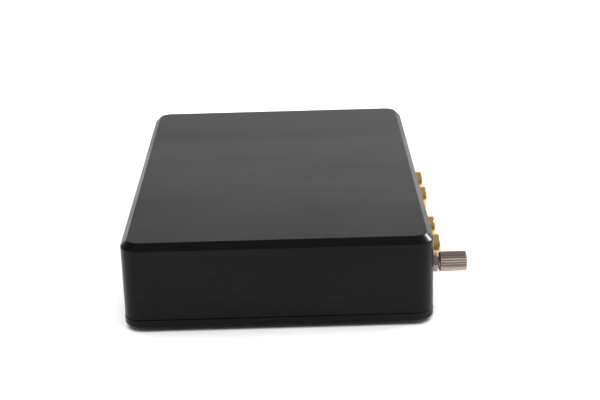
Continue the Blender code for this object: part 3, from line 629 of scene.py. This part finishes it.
def repeated(obj, step, row_step=None):
    """Doubles the piece along the step, and the pair again along the row step."""
    settings = {"In_A_Row": 2, "Step": tuple(step), "Rows": 2 if row_step else 1}
    settings["Row_Step"] = tuple(row_step or (0, 0, 0))
    apply_tree(obj, ROWS, Finish=obj.data.materials[0], **settings)


def settle(obj, body, slot, *nodes):
    """The piece rides on a body and stands for the given nodes, which are hidden. The slot is not used.
    """
    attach(obj, body)
    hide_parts(*nodes)


# ---------------------------------------------------------------- case


def make_case_shell():
    material = black_anodised("black_anodised_shell")
    top, bottom = SHELL_HIGH.z, SHELL_LOW.z
    outer = [(TOP_CHAMFER + 1.2 * MM, top), (TOP_CHAMFER, top), (0, top - TOP_CHAMFER), (0, bottom)]
    inner = [(WALL, bottom), (WALL, top - ROOF), (WALL + 2 * MM, top - ROOF)]
    shell = slab("case_body", SHELL_LOW, SHELL_HIGH, supported(outer + inner), CORNER_RADIUS, material)
    posts = []
    holes = []
    roof = top - ROOF / 2
    for corner in CORNERS:
        low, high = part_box("base_screw_" + corner)
        foot = upright(low, high, 0)
        posts.append(plug(BASE_POST, bottom, roof, foot, material, UP, sides=32))
        holes.append(plug(BASE_POST_HOLE, bottom - MM, high.z + 2 * MM, foot, material, UP, sides=24))
    for corner in CORNERS:
        low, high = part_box("board_screw_" + corner)
        foot = upright(low, high, 0)
        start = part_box("circuit_board")[1].z + 0.2 * MM
        posts.append(plug(BOARD_POST, start, roof, foot, material, UP, sides=32))
        holes.append(plug(BOARD_POST_HOLE, start - MM, high.z + MM, foot, material, UP, sides=24))
    for name in SOCKETS:
        holes.append(side_hole(BARREL_HOLE, middle_of(name + "_barrel"), SIDE_X, 1, material))
    holes.append(side_hole(INLET_HOLE, middle_of("inlet_pin"), SIDE_X, 1, material))
    holes.append(side_hole(EARTH_HOLE, middle_of("earth_screw"), SIDE_X, 1, material))
    holes.append(side_hole(BEZEL_HOLE, middle_of("button_bezel"), FRONT_X, -1, material))
    holes.append(side_hole(LAMP_HOLE, middle_of("status_lamp"), FRONT_X, -1, material))
    combine(shell, posts, "UNION")
    combine(shell, holes, "DIFFERENCE")
    settle(shell, "case", "case_black", "case_shell")


def side_hole(radius, axis, face, way, material):
    """A cutter for a round hole through a long side, its mouth broken."""
    mouth = radius + HOLE_MOUTH + MM
    reach = WALL + MM
    centre = Vector((face, axis.y, axis.z))
    profile = [(0, MM), (mouth, MM), (radius, -HOLE_MOUTH), (radius, -reach), (0, -reach)]
    return turned("cutter", profile, centre, material, (way, 0, 0), 64)


def make_base_plate():
    material = black_anodised("black_anodised_base")
    top, bottom = BASE_HIGH.z, BASE_LOW.z
    bevel, rim = 0.3 * MM, 4 * MM
    corner_radius = CORNER_RADIUS + 0.1 * MM
    profile = [(rim, top), (0, top), (0, bottom + bevel), (bevel, bottom), (rim, bottom)]
    profile = supported(profile, 0.08 * MM, 0.15 * MM)
    plate = slab("base_sheet", BASE_LOW, BASE_HIGH, profile, corner_radius, material)
    seats = []
    for corner in CORNERS:
        low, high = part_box("base_screw_" + corner)
        foot = upright(low, high, low.z)
        mouth = (high.x - low.x) / 2 + 0.2 * MM
        hole, above = 1.7 * MM, 5 * MM
        sink = [(0, above), (hole, above), (hole, COUNTERSINK), (mouth, 0), (mouth, -MM), (0, -MM)]
        seats.append(turned("cutter", sink, foot, material, UP, 48))
    combine(plate, seats, "DIFFERENCE")
    settle(plate, "case", "case_black", "base_plate")


def make_base_screws():
    """Countersunk screws with a hexagonal recess and a plain shank."""
    material = zinc_steel("zinc_base_screw")
    low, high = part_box("base_screw_near_left")
    centre = upright(low, high, low.z)
    head = (high.x - low.x) / 2
    length = high.z - low.z
    profile = [
        (0, length),
        (BASE_SCREW - 0.4 * MM, length),
        (BASE_SCREW, length - 0.4 * MM),
        (BASE_SCREW, COUNTERSINK),
        (head, 0.15 * MM),
        (head - 0.1 * MM, 0),
        (0, 0),
    ]
    screw = turned("base_screw_set", profile, centre, material, UP, 48)
    recess = plug(1.15 * MM, -MM, 1.2 * MM, centre, material, UP, sides=6)
    combine(screw, [recess], "DIFFERENCE")
    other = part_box("base_screw_far_right")[0] - low
    repeated(screw, (other.x, 0, 0), (0, other.y, 0))
    settle(screw, "case", "screw_steel", *("base_screw_" + corner for corner in CORNERS))


def make_feet():
    material = rubber("foot_rubber_black")
    low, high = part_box("foot_near_left")
    centre = upright(low, high, low.z)
    radius = (high.x - low.x) / 2
    height = high.z - low.z
    profile = [
        (0, height),
        (radius, height),
        (radius - 0.1 * MM, 0.5 * MM),
        (radius - 0.6 * MM, 0),
        (0, 0),
    ]
    foot = turned("rubber_foot_set", softened(profile, 0.25 * MM), centre, material, UP, 64)
    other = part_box("foot_far_right")[0] - low
    repeated(foot, (other.x, 0, 0), (0, other.y, 0))
    settle(foot, "case", "foot_rubber", *("foot_" + corner for corner in CORNERS))


# ---------------------------------------------------------------- sockets


def make_sockets():
    """The barrels, contacts and insulators; each is made at the first socket and then repeated."""
    first = middle_of("input_right_barrel")
    pair = Vector((0, middle_of("input_left_barrel").y - first.y, 0))
    rows = Vector((0, middle_of("output_right_barrel").y - first.y, 0))
    low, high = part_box("input_right_barrel")
    centre = Vector((SIDE_X, first.y, first.z))
    end, back = high.x - SIDE_X, low.x - SIDE_X
    outer, bore = 4.15 * MM, 3.6 * MM
    lip = 0.7 * MM
    profile = arc((outer - lip, end - lip), lip, 90, 0, 8)
    profile += [(outer, end - lip - 0.2 * MM), (outer, 0), (outer, back), (bore, back)]
    profile += [(bore, end - 0.5 * MM), (bore + 0.05 * MM, end - 0.3 * MM)]
    profile[0] = (bore + 0.15 * MM, end - 0.04 * MM)
    barrel = turned("socket_barrel_set", profile, centre, gold_plate("gold_barrel"), closed=True)
    repeated(barrel, pair, rows)
    settle(barrel, "case", "gold_plate", *(name + "_barrel" for name in SOCKETS))
    low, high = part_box("input_right_contact")
    end, back = high.x - SIDE_X, low.x - SIDE_X
    outer, bore = 2.1 * MM, 1.65 * MM
    profile = [(bore, end), (outer, end), (outer, back), (bore, back)]
    profile = softened(profile, 0.15 * MM, closed=True)
    material = gold_plate("gold_contact")
    contact = turned("socket_contact_set", profile, centre, material, sides=40, closed=True)
    repeated(contact, pair, rows)
    settle(contact, "case", "gold_plate", *(name + "_contact" for name in SOCKETS))
    outer, bore = 3.4 * MM, 2.3 * MM
    colours = {
        "right": ((0.36, 0.008, 0.008), (0.5, 0.016, 0.014)),
        "left": ((0.56, 0.55, 0.52), (0.66, 0.65, 0.62)),
    }
    for side, (dark, light) in colours.items():
        node = "input_" + side + "_insulator"
        low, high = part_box(node)
        start = Vector((SIDE_X, middle_of(node).y, first.z))
        end, back = high.x - SIDE_X, low.x - SIDE_X
        profile = [(bore, end), (outer, end), (outer, back), (bore, back)]
        profile = softened(profile, 0.3 * MM, closed=True)
        material = moulded("insulator_" + side, dark, light, 0.25)
        ring = turned("socket_insulator_" + side, profile, start, material, sides=56, closed=True)
        repeated(ring, rows)
        slot = "plastic_red" if side == "right" else "plastic_white"
        settle(ring, "case", slot, node, "output_" + side + "_insulator")


# ---------------------------------------------------------------- earth terminal


def make_earth_screw():
    """A screw whose head is inside the wall, with a real thread on all of its shank."""
    low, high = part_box("earth_screw")
    axis = middle_of("earth_screw")
    centre = Vector((SIDE_X, axis.y, axis.z))
    radius = EARTH_SCREW
    head_radius, head_height = 2.8 * MM, 2 * MM
    end = high.x - SIDE_X
    head_under = low.x + head_height - SIDE_X
    point = 0.3 * MM
    count = round((end - head_under) / (THREAD_PITCH / 8))
    shank = [(radius, end - point + (head_under - end + point) * i / count) for i in range(count + 1)]
    head = [
        (head_radius, head_under),
        (head_radius, head_under - 1.2 * MM),
        (head_radius - 0.7 * MM, head_under - head_height),
    ]
    profile = [(0, end), (radius - 0.35 * MM, end), (radius - 0.1 * MM, end - 0.2 * MM)]
    profile += shank + softened(head, 0.3 * MM) + [(0, head_under - head_height)]
    material = nickel_plate("nickel_screw", centre, radius - 0.3 * MM)
    screw = turned("earth_screw_threaded", profile, centre, material, sides=48)
    apply_tree(
        screw,
        RIDGES,
        Centre=tuple(centre),
        Around=-1.0,
        Per_Metre=1 / THREAD_PITCH,
        Depth=0.28 * MM,
        Inner_Radius=radius - 0.2 * MM,
        Start=head_under + 0.8 * MM,
        End=end - 0.1 * MM,
        Fade=0.3 * MM,
        Finish=material,
    )
    settle(screw, "case", "nickel_plate", "earth_screw")


def make_earth_nut():
    low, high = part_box("earth_nut")
    axis = middle_of("earth_nut")
    centre = Vector((low.x, axis.y, axis.z))
    height = high.x - low.x
    flats = high.z - low.z
    corner = flats / math.sqrt(3)
    material = nickel_plate("nickel_nut", centre, EARTH_SCREW)
    hexagon = [(0, height), (corner, height), (corner, 0), (0, 0)]
    nut = turned("earth_nut_hexagon", hexagon, centre, material, sides=6)
    nut.data.transform(turn_about(centre, math.radians(30)))
    drop = 0.42 * MM  # how far the rounding of the corners comes down each side
    face, widest = flats / 2 - 0.05 * MM, corner + 0.02 * MM
    round_off = [(0, height), (face, height), (widest, height - drop), (widest, drop), (face, 0), (0, 0)]
    combine(nut, [turned("cutter", round_off, centre, material)], "INTERSECT")
    combine(nut, [plug(NUT_BORE, -MM, height + MM, centre, material)], "DIFFERENCE")
    bevel = nut.modifiers.new("Edges", "BEVEL")
    bevel.width = 0.06 * MM
    bevel.segments = 2
    bevel.limit_method = "ANGLE"
    bevel.angle_limit = math.radians(28)
    bake(nut)
    settle(nut, "case", "nickel_plate", "earth_nut")


def turn_about(centre, angle):
    """A turn about the line along X through the centre."""
    return Matrix.Translation(centre) @ Matrix.Rotation(angle, 4, "X") @ Matrix.Translation(-centre)


def make_earth_washer():
    low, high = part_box("earth_washer")
    axis = middle_of("earth_washer")
    centre = Vector((low.x, axis.y, axis.z))
    height = high.x - low.x
    outer, bore = (high.z - low.z) / 2, 1.65 * MM
    profile = [(bore, height), (outer, height), (outer, 0), (bore, 0)]
    material = nickel_plate("nickel_washer", centre, 1.4 * MM)
    profile = softened(profile, 0.08 * MM, closed=True)
    washer = turned("earth_washer_ring", profile, centre, material, sides=48, closed=True)
    settle(washer, "earth_washer", "nickel_plate", "earth_washer")


def make_thumb_nut():
    """A round nut with a straight knurl, its ends rounded over."""
    low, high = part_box("thumb_nut")
    axis = middle_of("thumb_nut")
    centre = Vector((low.x, axis.y, axis.z))
    length = high.x - low.x
    radius = 3.12 * MM
    over = 0.55 * MM  # radius of the rounded ends
    bore, seat, seat_depth = NUT_BORE, 2.5 * MM, 0.6 * MM
    ridges, rings = 24, 24
    profile = arc((radius - over, length - over), over, 90, 0, 6)
    profile += [(radius, length - over - (length - 2 * over) * i / rings) for i in range(1, rings)]
    profile += arc((radius - over, over), over, 0, -90, 6)
    profile += [(seat + 0.1 * MM, 0), (seat, 0.1 * MM), (seat, seat_depth), (bore, seat_depth)]
    profile += [(bore, length - 0.5 * MM), (bore + 0.5 * MM, length)]
    material = nickel_plate("nickel_thumb_nut", centre, radius - 0.28 * MM)
    nut = turned("thumb_nut_knurled", profile, centre, material, sides=ridges * 10, closed=True)
    apply_tree(
        nut,
        RIDGES,
        Centre=tuple(centre),
        Around=float(ridges),
        Per_Metre=0.0,
        Depth=0.22 * MM,
        Inner_Radius=radius - 0.45 * MM,
        Start=0.0,
        End=length,
        Fade=0.5 * MM,
        Finish=material,
    )
    settle(nut, "thumb_nut", "nickel_plate", "thumb_nut")


# ---------------------------------------------------------------- start button, lamp and inlet


def make_button():
    """The plunger, dished a little on its face, and the bezel that holds it in."""
    axis = middle_of("start_button")
    low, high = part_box("start_button")
    centre = Vector((FRONT_X, axis.y, axis.z))
    face = FRONT_X - low.x
    end = FRONT_X - high.x
    outward = (-1, 0, 0)
    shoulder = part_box("button_bezel")[0].x + 1.4 * MM
    shoulder = FRONT_X - shoulder
    under = shoulder - 2.6 * MM
    radius, flange, stem = 3.1 * MM, 3.9 * MM, 1.4 * MM
    profile = [
        (1.9 * MM, face - 0.22 * MM),
        (radius, face),
        (radius, shoulder),
        (flange, shoulder),
        (flange, under),
        (stem, under),
        (stem, end),
    ]
    profile = [(0, face - 0.3 * MM)] + softened(profile, 0.25 * MM) + [(0, end)]
    material = turned_steel("steel_button", centre)
    button = turned("start_button_cap", profile, centre, material, outward, 72)
    settle(button, "start_button", "button_steel", "start_button")
    low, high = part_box("button_bezel")
    face, back = FRONT_X - low.x, FRONT_X - high.x
    ring, barrel, mouth, guide, cavity = 6.5 * MM, 5 * MM, 3.3 * MM, 1.6 * MM, 4.1 * MM
    gap, floor = 0.15 * MM, back + 1.5 * MM
    profile = [
        (mouth, face),
        (ring, face),
        (ring, gap),
        (barrel, gap),
        (barrel, back),
        (guide, back),
        (guide, floor),
        (cavity, floor),
        (cavity, face - BEZEL_LIP),
        (mouth, face - BEZEL_LIP),
    ]
    profile = softened(profile, 0.3 * MM, closed=True)
    material = turned_steel("steel_bezel", centre)
    bezel = turned("button_bezel_ring", profile, centre, material, outward, 72, closed=True)
    settle(bezel, "case", "button_steel", "button_bezel")


def make_button_spring():
    """A wire helix round the button's stem."""
    low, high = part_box("button_spring")
    middle = (low + high) / 2
    wire, turns = 0.3 * MM, 4.5
    radius = (high.z - low.z) / 2 - wire
    length = high.x - low.x - 2 * wire
    count, sides = round(turns * 36), 10
    bm = bmesh.new()
    rings = []
    for i in range(count + 1):
        angle = 2 * math.pi * turns * i / count
        outward = Vector((0, math.cos(angle), math.sin(angle)))
        place = Vector((high.x - wire - length * i / count, middle.y, middle.z)) + outward * radius
        ring = []
        for step in range(sides):
            turn = 2 * math.pi * step / sides
            offset = (outward * math.cos(turn) + Vector((math.sin(turn), 0, 0))) * wire
            ring.append(bm.verts.new(place + offset))
        rings.append(ring)
    for ring, following in zip(rings, rings[1:]):
        skin(bm, ring, following)
    bm.faces.new(rings[0])
    bm.faces.new(rings[-1])
    bmesh.ops.recalc_face_normals(bm, faces=bm.faces)
    spring = as_object("button_return_spring", bm, zinc_steel("spring_wire"))
    settle(spring, "case", "spring_steel", "button_spring")
    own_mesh(spring)


def make_lamp():
    """A domed lens with a rim behind the wall."""
    low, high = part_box("status_lamp")
    axis = middle_of("status_lamp")
    centre = Vector((FRONT_X, axis.y, axis.z))
    radius, face, back = 2.5 * MM, FRONT_X - low.x, FRONT_X - high.x
    rim, rim_radius = back + MM, radius + 0.6 * MM
    profile = arc((0, face - radius), radius, 90, 0, 12)
    profile += [(radius, rim), (rim_radius, rim), (rim_radius, back), (0, back)]
    profile[0] = (0, face)
    lamp = turned("status_lamp_lens", profile, centre, lamp_resin("lamp_red_resin"), (-1, 0, 0), 48)
    settle(lamp, "case", "lamp_red", "status_lamp")


def make_inlet():
    """A moulded body behind the wall, its collar in the wall's hole, and the pin in its bore."""
    low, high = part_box("inlet_housing")
    pin_low, pin_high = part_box("inlet_pin")
    axis = middle_of("inlet_pin")
    front = SIDE_X - WALL - 0.2 * MM
    size = Vector((front - low.x, high.y - low.y, high.z - low.z))
    bm = bmesh.new()
    bmesh.ops.create_cube(bm, size=1)
    bmesh.ops.scale(bm, vec=size, verts=bm.verts)
    bmesh.ops.translate(bm, vec=low + size / 2, verts=bm.verts)
    bmesh.ops.bevel(bm, geom=bm.edges[:], offset=0.45 * MM, segments=3, profile=0.5, affect="EDGES")
    material = moulded("inlet_plastic", *BLACK_RESIN, 0.38)
    housing = as_object("inlet_socket", bm, material)
    centre = Vector((high.x, axis.y, axis.z))
    back = front - high.x - MM
    collar_radius, bore = 5.2 * MM, 3.2 * MM
    collar = [(0, 0), (collar_radius, 0), (collar_radius, back), (0, back)]
    combine(housing, [turned("cutter", softened(collar, 0.3 * MM), centre, material)], "UNION")
    depth = high.x - pin_low.x + 0.2 * MM
    mouth = [(0, MM), (bore + 1.3 * MM, MM), (bore, -0.3 * MM), (bore, -depth), (0, -depth)]
    combine(housing, [turned("cutter", mouth, centre, material, sides=56)], "DIFFERENCE")
    settle(housing, "case", "plastic_black", "inlet_housing")
    centre = Vector((pin_low.x, axis.y, axis.z))
    length, radius = pin_high.x - pin_low.x, MM
    profile = [(0, length), (0.35 * MM, length), (radius, length - 0.7 * MM), (radius, 0), (0, 0)]
    material = nickel_plate("nickel_pin", centre, 0.2 * MM)
    pin = turned("inlet_centre_pin", softened(profile, 0.15 * MM), centre, material, sides=32)
    settle(pin, "case", "nickel_plate", "inlet_pin")


# ---------------------------------------------------------------- pieces that keep the frame's shapes


def dress_inner_nodes():
    """Finishes for the frame's own pieces inside the case."""
    iron = ((0.10, 0.10, 0.11), (0.24, 0.24, 0.26))
    copper = ((0.25, 0.07, 0.02), (0.62, 0.24, 0.09))
    finishes = {
        "circuit_board": circuit_green("solder_mask"),
        "transformer_core": striped("laminations", "Z", 0.5 * MM, *iron, metallic=1.0, rough=0.4),
        "transformer_bobbin": moulded("bobbin_nylon", (0.58, 0.56, 0.48), (0.7, 0.68, 0.6)),
        "transformer_winding": striped("winding", "Y", 0.25 * MM, *copper, metallic=0.9, rough=0.3),
        "earth_tag": zinc_steel("tinned_tag"),
        "earth_wire": moulded("green_insulation", (0.02, 0.18, 0.04), (0.04, 0.28, 0.07)),
        "button_lead": moulded("grey_sheath", (0.07, 0.07, 0.07), (0.12, 0.12, 0.12)),
        "lamp_lead": moulded("red_sheath", (0.3, 0.012, 0.012), (0.42, 0.03, 0.02)),
        "front_connector": moulded("connector_nylon", (0.66, 0.64, 0.56), (0.76, 0.74, 0.68)),
        "button_nut": turned_steel("steel_button_nut", middle_of("button_nut")),
        "switch_body": moulded("switch_plastic", *BLACK_RESIN),
        "regulator": moulded("regulator_resin", *BLACK_RESIN),
        "controller_chip": moulded("controller_resin", *BLACK_RESIN),
        "driver_chip": moulded("driver_resin", *BLACK_RESIN),
        "filter_capacitor": moulded("capacitor_sleeve", (0.012, 0.02, 0.07), (0.022, 0.035, 0.1), 0.25),
    }
    for name in SOCKETS:
        finishes[name + "_housing"] = moulded(name + "_plastic", *BLACK_RESIN)
    for side in ("left", "right"):
        name = "coupling_capacitor_" + side
        finishes[name] = moulded(name + "_dip", (0.34, 0.02, 0.02), (0.48, 0.04, 0.03), 0.2)
    amber = ((0.6, 0.26, 0.03), (0.78, 0.38, 0.06))
    for way in ("input", "output"):
        finishes["relay_" + way] = moulded("relay_cover_" + way, *amber, 0.25)
    for corner in CORNERS:
        finishes["board_screw_" + corner] = zinc_steel("zinc_board_screw_" + corner)
    for name, material in finishes.items():
        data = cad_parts[name].data
        data.materials.clear()
        data.materials.append(material)


# ---------------------------------------------------------------- floor, light and camera


def make_floor():
    bm = bmesh.new()
    bmesh.ops.create_grid(bm, x_segments=4, y_segments=4, size=3)
    floor = as_object("floor", bm, pale_floor("pale_floor"))


def aim(obj, place, target):
    direction = Vector(target) - Vector(place)
    turn = direction.to_track_quat("-Z", "Y").to_matrix().to_4x4()
    obj.matrix_world = Matrix.Translation(place) @ turn


def soft_light(name, place, target, size, power, spread=180, in_reflections=True):
    light = bpy.data.lights.new(name, "AREA")
    light.shape = "RECTANGLE"
    light.size, light.size_y = size
    light.energy = power
    light.spread = math.radians(spread)
    obj = bpy.data.objects.new(name, light)
    bpy.context.scene.collection.objects.link(obj)
    aim(obj, place, target)
    obj.visible_glossy = in_reflections


def make_light():
    """A bright wall behind, a dim ceiling, a dark room in front, a key lamp to the right, and fill."""
    world = bpy.data.worlds.new("studio")
    world.use_nodes = True
    bpy.context.scene.world = world
    tree = Tree(world.node_tree.nodes, world.node_tree.links)
    direction = tree.node("ShaderNodeTexCoord", {}, {}, "Generated")
    x, y, z = (tree.node("ShaderNodeSeparateXYZ", {}, [direction], letter) for letter in "XYZ")
    sideways = x.steps(-0.5, 0.22, 0.42, 1.0) * x.steps(0.45, 0.9, 1.0, 0.6)
    behind = z.steps(0.0, 0.22, 0.9, 1.55) * z.steps(0.3, 0.62, 1.0, 0.27) * sideways
    ahead = z.steps(0.42, 0.85, 0.22, 0.4)
    facing = y.steps(-0.35, 0.15)
    strength = behind * facing + ahead * (1 - facing)
    background = world.node_tree.nodes["Background"]
    tree.links.new(strength.socket, background.inputs["Strength"])
    background.inputs["Color"].default_value = (1, 0.975, 0.965, 1)
    corner = Vector((SHELL_HIGH.x, SHELL_LOW.y, SHELL_HIGH.z))
    key = corner + Vector((0.776, 0.43, 0.46)).normalized() * 1.6
    soft_light("key", key, corner, (0.11, 0.11), 0.05, spread=5)
    soft_light("fill", (0, 0, 2.2), (0, 0, 0), (3.5, 3.5), 120, in_reflections=False)


def make_camera():
    """Stands before the short end nearest the earth terminal, a little above."""
    base = Vector((MIDDLE_X, (SHELL_LOW.y + SHELL_HIGH.y) / 2, BASE_LOW.z))
    place = base + Vector((6.187, -447.155, 183.265)) * MM
    right = Vector((0.99961127, -0.01254378, -0.02489888))
    down = Vector((-0.02772178, -0.35214713, -0.93553402))
    ahead = right.cross(down)
    camera = bpy.data.cameras.new("camera")
    camera.lens = 81.32
    camera.sensor_width = 36
    obj = bpy.data.objects.new("camera", camera)
    bpy.context.scene.collection.objects.link(obj)
    turn = Matrix((right, -down, -ahead)).transposed().to_4x4()
    obj.matrix_world = Matrix.Translation(place) @ turn
    bpy.context.scene.camera = obj


make_case_shell()
make_base_plate()
make_base_screws()
make_feet()
make_sockets()
make_earth_screw()
make_earth_nut()
make_earth_washer()
make_thumb_nut()
make_button()
make_button_spring()
make_lamp()
make_inlet()
dress_inner_nodes()
make_floor()
make_light()
make_camera()
bpy.context.scene.view_settings.view_transform = "Standard"
